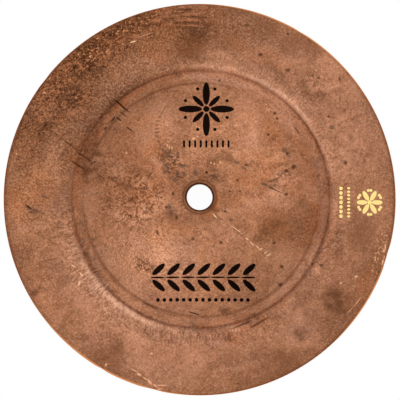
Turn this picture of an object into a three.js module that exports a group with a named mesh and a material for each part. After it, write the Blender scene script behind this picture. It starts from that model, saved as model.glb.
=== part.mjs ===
// A bell cymbal: one heavy round of cast bronze, pressed into a wide cup with a nearly flat brim round it.
// It is a single piece. In use a stand's rod goes up through the hole, with a felt above and below the metal.
//
// Millimetres, +Z up through the hole. The origin is the middle of the circle that the brim's edge rests on.
// The bell is a solid of revolution: its section is drawn from the hole outwards along the top surface, and
// the underside is the same outline one wall thickness lower, measured square to the metal.
import * as THREE from "three";

// The blank
const discDiameter = 177.8;
const wall = 3;
const holeDiameter = 11.5;

// The hole is punched from above, so its top edge is dragged down into a round lip, and its lower edge is
// left with a small worn burr.
const lipWidth = 2.1;
const lipDepth = 1.5;
const burrRadius = 0.5;

// The cup, on its top surface. A slope is how steeply the metal falls, from the level.
const seatDiameter = 28;
const crownDiameter = 107.4;
const crownSlope = THREE.MathUtils.degToRad(34);

// Round the crown the press leaves a fine step, then a narrow ledge, then the steep flank. Its tool has one
// small radius at all three.
const stepSlope = THREE.MathUtils.degToRad(46);
const ledgeSlope = THREE.MathUtils.degToRad(32);
const ledgeWidth = 2.75;
const flankSlope = THREE.MathUtils.degToRad(55);
const toolRadius = 0.8;

// The brim
const footRadius = 4.5;
const brimSlope = THREE.MathUtils.degToRad(4);
const edgeRadius = 0.9;

// How finely the curves are faceted
const facetsRound = 64;
const crownSteps = 8;
const footSteps = 4;
const lipSteps = 4;
const edgeSteps = 3;
const toolSteps = 2;

// An outline is a list of points of the top surface that each know how steeply it falls there.
function startOutline(radius) {
  return [{ radius, height: 0, slope: 0 }];
}

// Goes straight out by a width, at the slope that the outline has reached.
function runOut(outline, width) {
  const last = outline.at(-1);
  const height = last.height - width * Math.tan(last.slope);
  outline.push({ radius: last.radius + width, height, slope: last.slope });
}

// Bends along an arc until the surface falls at another slope. A steeper one makes a crest, where the top is
// the outside of the bend and has the wall added to its radius. A gentler one makes a hollow.
function bendTo(outline, innerRadius, slope, steps) {
  const start = outline.at(-1);
  const crest = slope > start.slope;
  const arcRadius = crest ? innerRadius + wall : -innerRadius;
  for (let i = 1; i <= steps; i++) {
    const reached = THREE.MathUtils.lerp(start.slope, slope, i / steps);
    outline.push({
      radius: start.radius + arcRadius * (Math.sin(reached) - Math.sin(start.slope)),
      height: start.height + arcRadius * (Math.cos(reached) - Math.cos(start.slope)),
      slope: reached,
    });
  }
}

// The top surface, from the end of the lip to where the brim's rounded edge begins.
function topOutline() {
  const crownArc = (crownDiameter - seatDiameter) / 2 / Math.sin(crownSlope);
  const lipEnd = holeDiameter / 2 + lipWidth;
  const brimEnd = discDiameter / 2 - edgeRadius * (1 - Math.sin(brimSlope));

  const outline = startOutline(lipEnd);
  runOut(outline, seatDiameter / 2 - lipEnd);
  bendTo(outline, crownArc - wall, crownSlope, crownSteps);
  bendTo(outline, toolRadius, stepSlope, toolSteps);
  bendTo(outline, toolRadius, ledgeSlope, toolSteps);
  runOut(outline, ledgeWidth);
  bendTo(outline, toolRadius, flankSlope, toolSteps);
  bendTo(outline, footRadius, brimSlope, footSteps);
  runOut(outline, brimEnd - outline.at(-1).radius);
  return outline;
}

// Points of an elliptical arc of the section, from one direction to another the short way round.
function arcPoints(centre, width, height, from, to, steps) {
  const arc = new THREE.EllipseCurve(centre.x, centre.y, width, height, from, to, to < from);
  return arc.getPoints(steps);
}

// The brim's edge, rounded above and below with a short upright land between.
function edgePoints(brimEnd) {
  const upper = new THREE.Vector2(
    discDiameter / 2 - edgeRadius,
    brimEnd.y - edgeRadius * Math.cos(brimSlope),
  );
  const land = (wall - 2 * edgeRadius) / Math.cos(brimSlope);
  const lower = new THREE.Vector2(upper.x, upper.y - land);
  const up = Math.PI / 2 - brimSlope;
  const down = up - Math.PI;
  return [
    ...arcPoints(upper, edgeRadius, edgeRadius, up, 0, edgeSteps),
    ...arcPoints(lower, edgeRadius, edgeRadius, 0, down, edgeSteps),
  ];
}

// The lower edge of the hole, and its round lip on top.
function holePoints() {
  const burr = new THREE.Vector2(holeDiameter / 2 + burrRadius, burrRadius - wall);
  const lip = new THREE.Vector2(holeDiameter / 2 + lipWidth, -lipDepth);
  return [
    ...arcPoints(burr, burrRadius, burrRadius, -Math.PI / 2, -Math.PI, toolSteps),
    ...arcPoints(lip, lipWidth, lipDepth, Math.PI, Math.PI / 2, lipSteps),
  ];
}

// The closed section as THREE.Vector2(radius, height), stood on the lowest point of the brim's edge. The hole
// and the edge bring the ends of the top surface and of the underside with them.
function section() {
  const outline = topOutline();
  const top = outline.map((p) => new THREE.Vector2(p.radius, p.height));
  const underside = outline.map(
    (p) => new THREE.Vector2(p.radius - wall * Math.sin(p.slope), p.height - wall * Math.cos(p.slope)),
  );
  const points = [
    ...holePoints(),
    ...top.slice(1, -1),
    ...edgePoints(top.at(-1)),
    ...underside.slice(1, -1).reverse(),
  ];
  const floor = Math.min(...points.map((p) => p.y));
  const standing = points.map((p) => new THREE.Vector2(p.x, p.y - floor));
  return [...standing, standing[0]];
}

// A lathe turns its section about +Y. Drawn top side first the skin would face inwards, so the section is
// reversed, and then the bell is stood up on +Z.
function bellGeometry() {
  const geometry = new THREE.LatheGeometry(section().reverse(), facetsRound);
  return geometry.rotateX(Math.PI / 2);
}

const rawBronze = new THREE.MeshStandardMaterial({
  name: "raw_bronze",
  color: "#a96f50",
  roughness: 0.5,
  metalness: 0.9,
});

const bell = new THREE.Mesh(bellGeometry(), rawBronze);
bell.name = "bell_cymbal";

const part = new THREE.Group();
part.name = "bell_cymbal_part";
part.add(bell);

export default part;
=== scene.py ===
# %% [markdown]
# # A bell cymbal in raw bronze
#
# A bell cymbal is one heavy round of cast bronze, pressed into a wide cup with a narrow brim. Nobody turns
# it on a lathe or polishes it, so it keeps the brown skin of the furnace, with every stain and scratch
# since. The form is simple and the skin is not. So this lesson draws the form with a few mesh operators,
# and spends the rest of its cells on the skin.
#
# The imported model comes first. It says where the bell is and how large it is, and everything else follows
# it.

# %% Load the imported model
import math

import bmesh
import bpy
import numpy as np
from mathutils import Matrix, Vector, noise


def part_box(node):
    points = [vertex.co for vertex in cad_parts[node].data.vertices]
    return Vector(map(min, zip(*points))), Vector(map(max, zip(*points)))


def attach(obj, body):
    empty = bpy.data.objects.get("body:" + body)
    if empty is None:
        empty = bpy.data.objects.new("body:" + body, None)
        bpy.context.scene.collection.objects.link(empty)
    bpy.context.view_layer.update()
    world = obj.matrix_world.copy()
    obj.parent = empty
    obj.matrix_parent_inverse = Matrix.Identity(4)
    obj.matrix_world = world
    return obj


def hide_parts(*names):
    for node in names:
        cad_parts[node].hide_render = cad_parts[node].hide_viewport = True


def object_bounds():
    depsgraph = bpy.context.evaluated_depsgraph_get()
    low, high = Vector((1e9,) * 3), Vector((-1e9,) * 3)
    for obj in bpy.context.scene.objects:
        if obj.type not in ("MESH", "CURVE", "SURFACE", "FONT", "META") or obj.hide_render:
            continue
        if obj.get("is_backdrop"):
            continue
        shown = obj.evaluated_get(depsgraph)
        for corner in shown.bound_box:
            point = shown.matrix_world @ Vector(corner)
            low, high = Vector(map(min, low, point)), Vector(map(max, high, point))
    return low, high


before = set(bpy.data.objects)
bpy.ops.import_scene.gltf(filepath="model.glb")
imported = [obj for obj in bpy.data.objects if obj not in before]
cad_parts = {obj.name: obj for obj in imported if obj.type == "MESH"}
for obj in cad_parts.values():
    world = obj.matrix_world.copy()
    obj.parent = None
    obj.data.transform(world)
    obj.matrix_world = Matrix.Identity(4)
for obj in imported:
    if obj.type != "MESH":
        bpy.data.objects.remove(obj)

MM = 0.001
cad_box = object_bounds()
bell_low, bell_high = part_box("bell_cymbal")
disc_radius = (bell_high.x - bell_low.x) / 2
top_height = bell_high.z
print(f"disc {2 * disc_radius / MM:.1f} mm across, {top_height / MM:.1f} mm high")

# %% [markdown]
# ## The section
#
# A pressed bell is a solid of revolution, so its whole form is one curve: a level seat round the hole, the
# arc of the crown, the fine step and ledge that the press leaves, the steep flank, the hollow at its foot,
# and the brim. It could be typed as a list of points, but a list says nothing about why the metal bends.
# Here one vertex walks out from the hole. It is extruded along the straight runs, and spun about a centre
# for the bends, so each value below is a real measure of the bell.

# %% Sizes of the section
hole_radius = 5.75 * MM
wall = 3 * MM
lip_room = 2.5 * MM
seat_radius = 14 * MM
crown_radius = 53.7 * MM
ledge_width = 2.75 * MM
tool_radius = 0.8 * MM
foot_radius = 4.5 * MM
crown_slope = math.radians(34)
step_slope = math.radians(46)
ledge_slope = math.radians(32)
flank_slope = math.radians(55)
brim_slope = math.radians(4)
print(f"hole {2 * hole_radius / MM:.1f} mm, crown {2 * crown_radius / MM:.1f} mm, wall {wall / MM:.1f} mm")


# %% Helpers that walk the section outwards
def run_out(bm, tip, radius, slope, steps):
    """Extrudes the tip straight out to a radius from the axis, falling at a slope. Returns the new tip."""
    width = (radius - tip.co.x) / steps
    for _ in range(steps):
        tip = bmesh.ops.extrude_vert_indiv(bm, verts=[tip])["verts"][0]
        bmesh.ops.translate(bm, verts=[tip], vec=(width, 0, -width * math.tan(slope)))
    return tip


def bend_to(bm, tip, arc_radius, slope, new_slope, steps):
    """Spins the tip about an arc's centre until it falls at a new slope. A steeper one is a crest."""
    side = 1 if new_slope > slope else -1
    square = Vector((math.sin(slope), 0, math.cos(slope)))
    spun = bmesh.ops.spin(
        bm, geom=[tip], cent=tip.co - side * arc_radius * square, axis=(0, 1, 0),
        angle=new_slope - slope, steps=steps,
    )
    return spun["geom_last"][0]


# %% Draw the section
crest_radius = tool_radius + wall
crown_arc = (crown_radius - seat_radius) / math.sin(crown_slope)

bell = bmesh.new()
tip = bell.verts.new((hole_radius, 0, top_height))
tip = run_out(bell, tip, hole_radius + lip_room, 0, steps=1)
tip = run_out(bell, tip, seat_radius, 0, steps=5)
tip = bend_to(bell, tip, crown_arc, 0, crown_slope, steps=28)
tip = bend_to(bell, tip, crest_radius, crown_slope, step_slope, steps=4)
tip = bend_to(bell, tip, tool_radius, step_slope, ledge_slope, steps=3)
tip = run_out(bell, tip, tip.co.x + ledge_width, ledge_slope, steps=3)
tip = bend_to(bell, tip, crest_radius, ledge_slope, flank_slope, steps=5)
tip = bend_to(bell, tip, foot_radius, flank_slope, brim_slope, steps=8)
tip = run_out(bell, tip, disc_radius, brim_slope, steps=22)
print(f"section of {len(bell.verts)} points, ending {tip.co.z / MM:.2f} mm above the floor")

# %% [markdown]
# ## Turn it, and give it a wall
#
# A full spin with use_merge closes the disc on itself, so no seam is left. The press bends a plate, so the
# underside is the top moved down square to the metal, and Solidify does just that. The hole and the edge
# are then sharp corners, which a bevel rounds as the punch and years of handling do. A bevel needs a face
# at least as wide as itself on each side, and that is why the section keeps a free run beside the hole.

# %% Spin the section and thicken it
spin_steps = 448

bmesh.ops.spin(
    bell, geom=bell.verts[:] + bell.edges[:], cent=(0, 0, 0), axis=(0, 0, 1),
    angle=math.tau, steps=spin_steps, use_merge=True,
)
bmesh.ops.remove_doubles(bell, verts=bell.verts, dist=0.001 * MM)
bmesh.ops.recalc_face_normals(bell, faces=bell.faces)
if sum(face.normal.z for face in bell.faces) < 0:
    bmesh.ops.reverse_faces(bell, faces=bell.faces)
bmesh.ops.solidify(bell, geom=bell.faces, thickness=wall)
print(f"{len(bell.faces)} faces, lowest point {min(v.co.z for v in bell.verts) / MM:.2f} mm")

# %% Round the hole and the edge
lip_rounding = 1.7 * MM
burr_rounding = 0.5 * MM
edge_rounding = 0.9 * MM
near = 0.35 * MM


def ring_edges(bm, radius, low, high):
    """Edges that lie along a ring of that radius, between two heights."""
    return [
        edge for edge in bm.edges
        if all(abs(v.co.xy.length - radius) < near and low < v.co.z < high for v in edge.verts)
        and abs(edge.verts[0].co.z - edge.verts[1].co.z) < near
    ]


hole_middle = top_height - wall / 2
edge_middle = wall / 2

# Each rounding: the radius of its ring, the heights that it lies between, its size and its segments.
for radius, low, high, rounding, segments in (
    (hole_radius, hole_middle, top_height + near, lip_rounding, 6),
    (hole_radius, edge_middle, hole_middle, burr_rounding, 3),
    (disc_radius, edge_middle, hole_middle, edge_rounding, 4),
    (disc_radius, -near, edge_middle, edge_rounding, 4),
):
    edges = ring_edges(bell, radius, low, high)
    print(f"{len(edges)} edges at {radius / MM:.1f} mm get a {rounding / MM:.1f} mm rounding")
    bmesh.ops.bevel(
        bell, geom=edges, offset=rounding, offset_type="OFFSET", segments=segments,
        profile=0.5, affect="EDGES", material=-1, clamp_overlap=False,
    )

# %% [markdown]
# ## Not quite true
#
# A lathe leaves a perfect surface and a press doesn't. The punch came down half a millimetre beside the
# middle of the disc, so the lines of the cup lie a little to one side, while the hole and the edge stay
# where they are. The plate was rolled and hammered flat before that, so it is also out of true by about a
# tenth of a millimetre, which the eye finds in the way that a reflection wanders. A Displace modifier could
# add this, but the wall would swell and shrink. So each vertex is raised by a noise of its place seen from
# above: both sides of the wall rise together. The edge has also been knocked in a few spots, which are
# moved inwards.

# %% A punch a little off the middle
punch_slip = Vector((0.45, -0.25)) * MM
for vert in bell.verts:
    radius = vert.co.xy.length
    inner = min(1, max(0, (radius - seat_radius) / (crown_radius - seat_radius)))
    outer = min(1, max(0, (disc_radius - radius) / (disc_radius - crown_radius - ledge_width)))
    vert.co.xy += min(inner, outer) * punch_slip
print(f"punch {punch_slip.length / MM:.2f} mm off the middle")

# %% Waves in the plate
wave_length = 16 * MM
wave_height = 0.09 * MM

for vert in bell.verts:
    place = vert.co.xy.to_3d() / wave_length
    calm = min(1, (disc_radius - vert.co.xy.length) / wave_length)
    vert.co.z += wave_height * calm * noise.noise(place)
print(f"waves {wave_length / MM:.0f} mm long and up to {wave_height / MM:.2f} mm high")

# %% Knocks in the edge
# Each knock: the clock angle in degrees, its width along the edge and its depth.
knocks = (
    (106, 5 * MM, 0.30 * MM),
    (109, 3 * MM, 0.20 * MM),
    (-166, 6 * MM, 0.25 * MM),
    (-150, 3 * MM, 0.20 * MM),
    (-52, 4 * MM, 0.15 * MM),
    (31, 4 * MM, 0.15 * MM),
)
knock_reach = 2 * MM
for clock, width, depth in knocks:
    turn = math.radians(clock)
    spot = disc_radius * Vector((math.sin(turn), math.cos(turn)))
    for vert in bell.verts:
        inset = disc_radius - vert.co.xy.length
        along = (vert.co.xy - spot).length / width
        if inset < knock_reach and along < 1:
            share = (1 - along ** 2) ** 2 * (1 - inset / knock_reach)
            vert.co.xy -= share * depth * vert.co.xy.normalized()
print(f"{len(knocks)} knocks in the edge")

# %% Make the object
mesh = bpy.data.meshes.new("bell_shell")
bell.to_mesh(mesh)
bell.free()
mesh.shade_smooth()
shell = bpy.data.objects.new("bell_shell", mesh)
bpy.context.scene.collection.objects.link(shell)
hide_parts("bell_cymbal")
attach(shell, "root")
mesh.calc_loop_triangles()
print(f"shell of {len(mesh.loop_triangles)} triangles")

# %% [markdown]
# ## Stains, and some painted light and shade, on the mesh
#
# A bell that has lived has its stains where things happened: a crust where it lay in the quench, dark
# clouds where damp hands held it, pale fans where hands and cloths rubbed it. Some of what is painted here
# is light and shade: a painted highlight on the ledge and at the foot of the flank, and painted shade on
# the steep flank. A soft stain is wider than the mesh is fine, so it can be painted on the vertices, as a
# float attribute that the material reads later. Each stain is a few ovals in one of two frames. The flat
# frame is the place seen from above, x and y in millimetres.
# The ring frame is the distance from the axis and the clock angle in degrees, 0 at the top and 90 at the
# right, which suits what goes round the bell. A small noise bends the places first, so that an oval doesn't
# look like one. Only the top is painted: a stain fades out where the surface turns down at the edge and in
# the hole.

# %% Where each vertex is
count = len(mesh.vertices)
points = np.empty(3 * count)
mesh.vertices.foreach_get("co", points)
points = points.reshape(count, 3) / MM
normals = np.empty(3 * count)
mesh.vertex_normals.foreach_get("vector", normals)
level_enough = 0.2
top_share = np.clip(normals.reshape(count, 3)[:, 2] / level_enough, 0, 1)

bend_size = 11.0
bend_reach = 2.6
bend_octaves = 4
hard_folds = False
bend_seed = 4

# A vector noise starts from the clock unless it is given a seed, and the stains have to stay where they are.
noise.seed_set(bend_seed)
bends = np.array([
    noise.turbulence_vector(
        Vector(point) / bend_size, bend_octaves, hard_folds, amplitude_scale=0.6, frequency_scale=2.1)
    for point in points
])
flat_x, flat_y = (points + bend_reach * bends)[:, :2].T
ring_radius = np.hypot(flat_x, flat_y)
ring_clock = np.degrees(np.arctan2(flat_x, flat_y))
print(f"{count} vertices, {int(top_share.sum())} of them on top")


# %% Paint ovals on the vertices
feather = 1.15


def cosine_and_sine(turn=0):
    """Cosine and sine of an oval's turn in degrees. A row leaves the turn out where it is 0."""
    return math.cos(math.radians(turn)), math.sin(math.radians(turn))


def paint(name, u, v, rows):
    """Stores an attribute that has each oval's amount in its middle and fades to 0 just past its edge."""
    value = np.zeros(count)
    for x, y, length, width, *turn, amount in rows:
        c, s = cosine_and_sine(*turn)
        along = ((u - x) * c + (v - y) * s) / (feather * length)
        across = ((v - y) * c - (u - x) * s) / (feather * width)
        fade = np.clip(1 - along ** 2 - across ** 2, 0, 1)
        value = np.maximum(value, amount * fade ** 2 * (3 - 2 * fade))
    layer = mesh.attributes.new(name, "FLOAT", "POINT")
    layer.data.foreach_set("value", value * top_share)
    print(f"{name}: {int((value > 0).sum())} vertices")


# %% Dark stains in the flat frame
# Each oval: x and y in mm, half length, half width, the turn in degrees if it has one, and the amount.
dark_stains = {
    "clouded": (
        (42, -13, 17, 8, 14, 0.35), (31, -14, 9, 4.5, 25, 0.65), (51, -14, 5, 5, 0.25),
        (65, -48, 12, 10, 0.45), (73, -17, 8, 10, 0.55), (75, -30, 5, 8, 0.3), (36, -78, 18, 8, 25, 0.55),
        (33, -74, 14, 6, 20, 0.55), (24, -70.5, 4, 4, 0.4), (19, -82, 10, 5, 5, 0.4),
        (-30, -80, 6, 4, -30, 0.35), (-23, -62, 4, 2.4, -30, 0.4), (57, -55, 7, 5, 0.35),
        (70.5, -32, 3, 5, 0.45), (39, 53, 5, 2, -38, 0.45), (-61, 20, 2.5, 5, 20, 0.4),
        (17, -14.5, 4, 3, 0.35), (2, 82, 2.5, 6, 0.4), (33, -55, 3, 4, 0.4), (48, -52, 5, 3, 0.4),
        (52.5, -38, 5, 3, 0.35), (-41, -73, 10, 4, -28, 0.6), (-37, -70, 7, 4, 0.6),
        (-4.5, 72, 10, 10, 1), (-2, 61, 6, 4, 0.4), (-50, 19, 8, 11, -20, 0.2), (7, 8.5, 7, 3, -12, 0.2),
        (5, -9, 5, 3.5, 0.55), (12, -1, 6, 4, 0.35), (-10, 7, 5, 7, 30, 0.45), (-9, -13, 5, 3, 0.7),
        (7.5, -5, 3, 2.5, 0.9), (12, 17.5, 6, 2.6, -15, 0.7), (8, 16, 4, 3, 0.6), (24, -19, 3, 3.5, 0.6),
        (25, -56, 6, 4, 15, 0.4), (2.5, -64, 4, 2, 0.4), (0, -78, 5, 5, 0.35), (-34, 6, 6, 3.5, 0.2),
        (-27, 11, 5, 3, 0.4), (-22, 41.5, 5, 5, 0.3), (-5, -12, 6, 3.5, 0.5), (-79, -28, 7, 12, 10, 0.25),
        (30, 77, 10, 6, -20, 0.6), (42, 70, 7, 6, 0.55), (-67, 4, 9, 5, 0.55), (-82, 8, 9, 7, 0.3),
        (-61, 60, 3, 3, 0.5), (-12, -8, 4, 4, 0.7), (-77, 29, 9, 5, 0.45), (26, -11, 3, 2.5, 0.45),
        (11, 76, 11, 10, 0.55), (14, 85, 13, 4, -6, 0.65), (40, -72, 6, 4, 0.7), (51, 68, 6, 6, 0.5),
        (-11, 62, 4, 5, 0.5), (82, -28, 4, 9, 0.4), (-61, -37, 5, 3, 0.35), (-72, -32, 4, 4, 0.3),
        (-84, 3, 4, 6, 0.5), (-69, 0, 6, 3, -40, 0.6), (-74, 27, 5, 4, 0.5), (60, -62, 6, 5, -45, 0.35),
        (49, -43, 4, 4, 0.5), (49, -21, 4, 4, 0.4), (60, 40, 4, 4, 0.4), (-42, -76, 13, 5, -32, 0.5),
        (83, 12, 4, 4, 0.2), (31, 33, 4, 10, -15, 0.4), (34, 57, 8, 3, -32, 0.6), (48, 26, 3, 4, 0.6),
        (53, 17, 3, 5, 0.3), (45, -46, 9, 5, -30, 0.5), (71, -44, 8, 6, 0.2), (12, -62, 6, 3, 10, 0.5),
        (-3, -59.5, 5, 2.5, 0.5), (14, -72, 8, 5, 0.35), (28, -69, 5, 4, 0.35), (-62, 0, 5, 7, 0.55),
        (-73, 1, 6, 7, 0.35), (-24, -25, 4, 4, 0.3), (-47, -35, 3, 6, 25, 0.5), (-54, -25, 5, 5, 0.35),
        (-40, 30, 4, 6, 0.25), (46, -4, 5, 4, 0.3), (30, 7, 5, 3, 0.3), (34.5, 12, 3, 3, 0.5),
        (-27, 69, 12, 6, 8, 0.65), (-17, 73, 11, 5, 0.7), (-13, 66.5, 4, 2, 20, 0.7),
        (62, -21, 4, 10, 0.55), (-52, 36, 3, 8, -35, 0.4), (-70, 32, 5, 4, 0.4), (-67, -16, 7, 3, 0.4),
        (0, 11, 3, 3, 0.4), (33, -38, 6, 3, 0.35), (44, -71, 8, 4, 25, 0.45),
        (-21, -58.5, 6, 2.6, -14, 0.3), (50.3, 48.4, 5, 5, 0.6), (41, 48, 3, 3, 0.4),
        (-64, 52, 6, 10, -40, 0.3), (-46, 19.5, 3, 3, 0.8), (-75, 21, 3, 3, 0.4), (-63, 36.5, 6, 3, 0.6),
        (-52, 44, 5, 3, 20, 0.6), (1, 62.5, 6, 2, 0.6), (-9.5, 58, 2.5, 5, 0.5), (82, -34, 4, 6, 0.5),
        (40, 31, 3, 4, 0.5), (28.5, 25.5, 3, 4, 0.4), (-74, -6, 4, 4, 0.4), (-39, -6, 2.4, 2.4, 0.6),
        (28, -20, 4, 3, 0.4), (4, -11.7, 8, 2.4, 0.65), (-46, 26, 3, 6, 0.5), (58, 25.7, 3, 3, 0.6),
        (48, 58.4, 4, 3, 0.4), (71, 16.5, 4, 3, 0.4), (66, -14, 6, 4, 0.4),
    ),
    "smudges": (
        (61, -46, 6.5, 7.5, 1), (46.5, -60.5, 4, 3.4, 1), (24, -54.5, 4.2, 2.8, 15, 1),
        (10.5, -51, 4, 1.8, 1), (14, -64, 3.5, 1.8, 12, 0.9), (-49.5, 21, 5, 8, -15, 0.7),
        (-51, 12.5, 6, 4, -20, 0.8), (41, 21.5, 3, 2.5, 0.3), (31.5, -14.5, 9.5, 2.6, 27, 0.55),
        (-77, -4, 3.4, 1.8, -25, 0.9), (-23.5, -61, 4, 2.4, -30, 0.5), (-42, -70.5, 5.5, 2.8, -35, 0.2),
        (-60, -40, 7, 1.6, 12, 0.25), (-74, -42, 5, 1.6, 12, 1), (-1, 77, 8, 7, 0.5),
        (8, 9, 5, 1.6, -12, 0.5), (31, 62, 6, 2.4, -40, 0.3), (33, 4, 4, 1.6, 28, 0.6),
        (-40, 41, 6, 3.5, 45, 0.45), (-48, 32, 5, 3, 50, 0.6),
    ),
    "sooty": (
        (-7.5, 14.5, 8, 1.8, -31, 0.7), (-11, 17.5, 4.5, 3.4, -30, 1), (-13, 12, 3.4, 5, 10, 1),
        (9, 10, 6, 1.6, -10, 0.4), (31, 27, 3, 3, 0.8), (20, 14, 4, 2, -20, 1),
        (-50, -20, 6, 10, 20, 0.7), (-71, 32, 5, 3, 40, 0.8), (38, 12, 5, 3, 30, 0.4),
    ),
}
print(f"{sum(map(len, dark_stains.values()))} dark ovals")

# %% Marked patches in the flat frame
# Speckles, streaks, the stripes of the rolling mill and sparks show only inside these patches.
marked_patches = {
    "speckled": (
        (-30, -2, 17, 15, 1), (-18, -18, 9, 8, 0.3), (-12.5, 16.5, 7, 9, 15, 1), (-56, 22, 13, 13, 0.9),
        (39, 9, 8, 11, 0.7), (50, -30, 9, 7, 45, 0.5), (-25, -31, 5, 4, 1), (-4, -60.5, 20, 4, 0.8),
        (-62, -12, 10, 13, 0.7), (-2, -17, 8, 5, 0.7), (-42, 38, 9, 6, 45, 0.8), (8, 10, 8, 4, 0.6),
        (52, 52, 9, 12, -45, 0.7), (62, 20, 20, 36, 0.4), (-45, -60, 20, 14, -40, 0.4),
        (-40, 10, 10, 12, 0.8),
    ),
    "streaked": ((-70, -22, 14, 22, 1), (-36, -58, 12, 8, 0.7)),
    "rolled": ((-7, 82.5, 11, 5, 1), (-32, 76, 12, 5, 20, 0.5)),
    "sparkled": (
        (-17, 33, 3, 3, 0.8), (-30, 80, 16, 5, 22, 0.45), (-50, 66, 6, 5, 45, 0.5),
        (82, -28, 3.4, 10, -14, 0.9), (83.5, -17, 2.6, 5, 1),
    ),
}
print(f"{sum(map(len, marked_patches.values()))} marked patches")

# %% Pale and warm stains in the flat frame
# Hands and cloths leave pale fans, and thin oxide turns the metal warm.
light_stains = {
    "pale": (
        (-17, -24.5, 6, 6, 10, 0.8), (-27, -22, 24, 16, 10, 0.25), (-17, -20, 6, 6, 1),
        (-29, -5, 13, 5, 0.5), (0, -15, 20, 5, 0.25), (23, 25, 6, 9, 0.4), (22, 36, 9, 12, 20, 0.35),
        (-18, 34, 8, 13, 0.6), (1, 20, 10, 3.5, 0.1), (39, 7, 7, 8, 20, 0.75), (48, -29, 12, 6, 60, 0.6),
        (66, 18, 9, 12, 0.5), (70, 27, 8, 8, 0.4), (-30, -69, 7, 5, -20, 0.35),
        (-50, -48, 7, 7, -45, 0.55), (-32, -61, 13, 5, -30, 0.5), (-66, -54, 4, 9, -40, 0.15),
        (-16, -61, 3, 2.5, 0.4), (35.5, -40.5, 3, 5, -30, 0.4), (10, -8.5, 3, 2.5, 0.4),
        (17, -7, 5, 2.5, 0.3), (34, 16.5, 6, 2.4, 15, 0.4), (-61, -20, 7, 12, 20, 0.4),
        (34, -44, 6, 3, 10, 0.4), (34, -2, 9, 3, 0.5), (-23, 27, 7, 10, 0.45), (37, -28, 6, 6, 0.35),
        (52, 3, 5, 6, 0.4), (59.5, -3, 3, 6, 0.6), (50, -64, 4, 4, 0.3), (-61, -6, 5, 10, -10, 0.25),
        (-20, -3, 5, 6, 1), (-18, 15, 3, 4, 0.6), (14, -20, 7, 5, 30, 0.25), (59, 62, 8, 8, 0.4),
        (58, 19, 4, 9, 0.7), (17, 19, 4, 1.6, -20, 0.4), (-34, -8, 8, 3, 0.9), (-24.6, 4.6, 3, 4, 0.8),
        (-36, 12, 5, 4, 0.5), (24, -3.5, 6, 3, 0.5), (-25, -8, 7, 7, 0.6), (60, 36, 6, 7, 0.35),
        (36, 46, 4, 9, 20, 0.3), (71, 50, 6, 5, -40, 0.3), (12, 56.5, 13, 3, -6, 0.45),
        (49, -29, 6, 7, 1), (-2, -74, 6, 8, 0.35), (46, -53, 3, 5, 0.4), (-24, -74, 4, 8, 0.3),
        (-9, 16, 3, 6, 20, 0.6), (35, 39, 4, 6, 0.25), (36, 3, 7, 4, 30, 0.8), (-19, -18, 4, 5, 1),
        (24, 50, 9, 4, -35, 0.35), (-43, 36, 5, 6, -45, 0.3), (-25, -5, 8, 4, 30, 0.9),
        (39, -40, 4, 9, 0.45), (11, -57, 9, 2.4, 8, 0.6), (-31, -37, 6, 5, 0.4),
        (-66, 27, 6, 2.4, 45, 0.5), (-75, -12, 9, 3, 0.3), (-76, 40, 4, 3, 0.5),
        (-58, 40, 3, 5, -30, 0.5), (-45, 15.5, 4, 3, 0.5), (-57.5, -11, 3, 8, 0.5), (-54, -40, 6, 3, 0.4),
        (10, 58.7, 7, 2.2, -8, 0.7), (30, -26, 5, 5, 0.25), (-43, -47, 5, 4, 0.35),
        (-33, -47.5, 5, 2, -40, 0.4), (-54, -34, 3, 4, 0.5), (-50, -42, 4, 5, 0.3), (42, -65, 4, 3, 0.3),
        (56, 52, 9, 3, 0.4), (-5, 87, 8, 2, 0.5), (-65, 22, 4, 6, 0.4), (-14, 82, 7, 3, 0.4),
        (-49, -3, 7, 9, 0.3), (40, 34, 6, 4, -30, 0.5), (-46, -55, 12, 8, -40, 0.3), (3, 60, 6, 3, 0.4),
    ),
    "warm": (
        (-21.5, 20.5, 5, 3.5, 10, 1), (-19, -18, 6, 5, 1), (-82, -1, 6, 10, 0.8),
        (25, -55, 6, 3, 20, 0.8), (-42, -70, 9, 6, -35, 0.25), (-14, 78, 9, 4, 10, 0.5),
        (-22, 84, 12, 3, 14, 1), (22, 8, 6, 5, 0.5), (-26, 34, 12, 6, 0.6), (-20, -3, 6, 5, 0.8),
        (-32, -5, 7, 4, 0.6), (8.5, -1, 3, 5, 1), (4, -8, 3, 3, 0.7), (34, -14, 9, 6, 0.6),
        (48, -29, 5, 6, 20, 0.8), (10, -56, 6, 4, 0.5), (68, -44, 10, 6, 0.2), (-20, 67, 9, 6, 0.5),
        (-8.5, 14, 3, 5, 0.7), (-17, 24, 4, 9, 0.7), (-44, 36, 7, 4, 40, 0.7), (25, 66, 22, 4, -25, 0.4),
        (33, 15, 7, 3, -20, 0.9), (-12, 71, 16, 6, 0.3), (50, 25, 5, 9, 0.9), (30, 12, 5, 4, 0.7),
        (18, -2, 6, 4, 0.4), (-53, 22, 5, 10, -15, 0.7), (-73, 4, 9, 10, 0.7), (-25, 2, 4, 8, 0.7),
        (42, 5, 5, 6, 0.9), (48, 31, 6, 7, -40, 0.7), (32, 33, 3, 8, 0.6), (-8, -15, 9, 3, 0.7),
    ),
}
print(f"{sum(map(len, light_stains.values()))} pale and warm ovals")

# %% Paint the flat frame
flat_stains = dark_stains | marked_patches | light_stains
for name, rows in flat_stains.items():
    paint(name, flat_x, flat_y, rows)

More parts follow.
